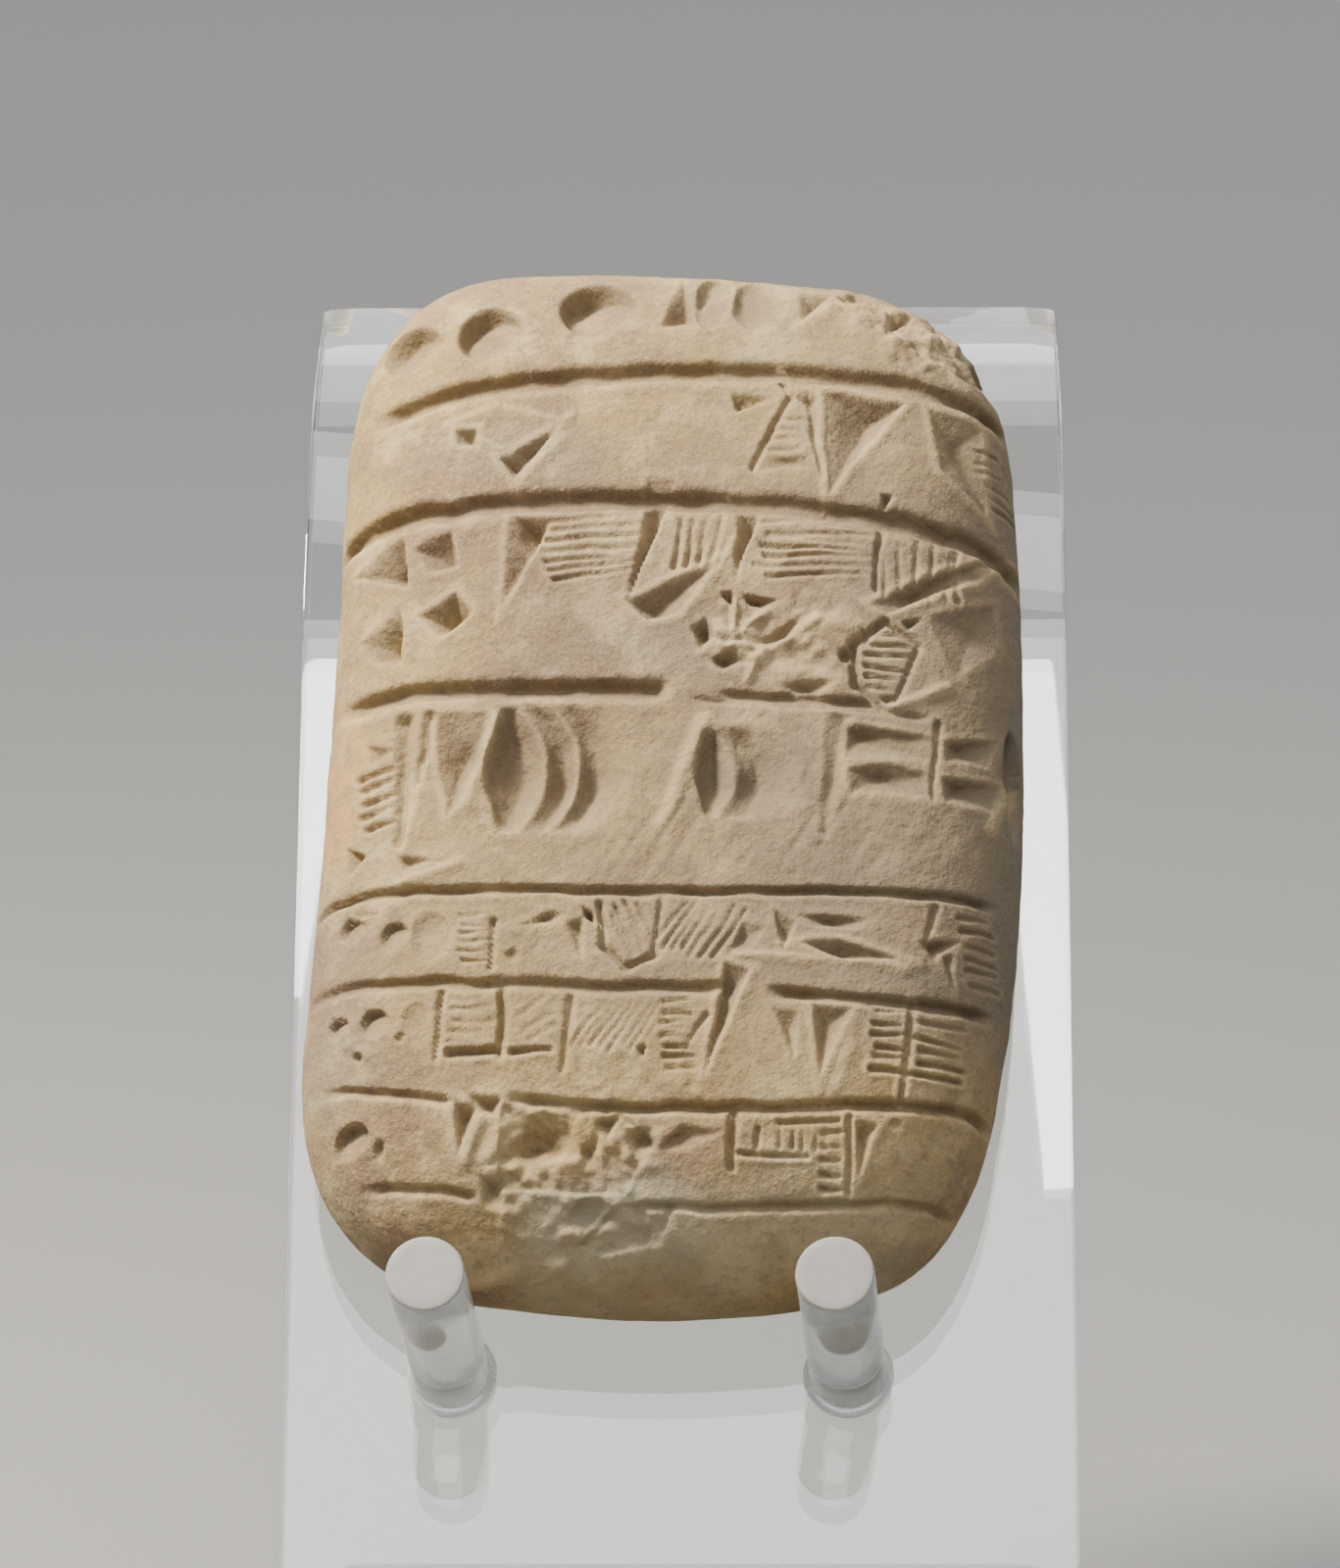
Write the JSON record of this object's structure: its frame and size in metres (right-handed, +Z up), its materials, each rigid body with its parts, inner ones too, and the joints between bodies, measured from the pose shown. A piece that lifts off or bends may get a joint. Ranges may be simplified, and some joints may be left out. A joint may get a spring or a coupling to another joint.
{
  "type": "cuneiform tablet on a display stand",
  "caption": "Pillow-shaped clay tablet with ruled rows of pressed strokes, resting on clear pegs and leaning on a bent clear stand with a flat foot.",
  "frame": {"origin": "under the middle of the whole, on the surface that the foot stands on", "axes": "+Z up, the written face looks towards -Y and up, +X to the viewer's right"},
  "size_m": [0.062, 0.0944, 0.1218],
  "materials": {
    "clay": "matt, dry, worn buff clay",
    "clear_sheet": "clear acrylic sheet with polished edges",
    "clear_rod": "clear acrylic rod with matt sawn ends"
  },
  "bodies": {
    "root": {"tablet": "clay", "stand": "clear_sheet", "left_peg": "clear_rod", "right_peg": "clear_rod"}
  },
  "joints": []
}
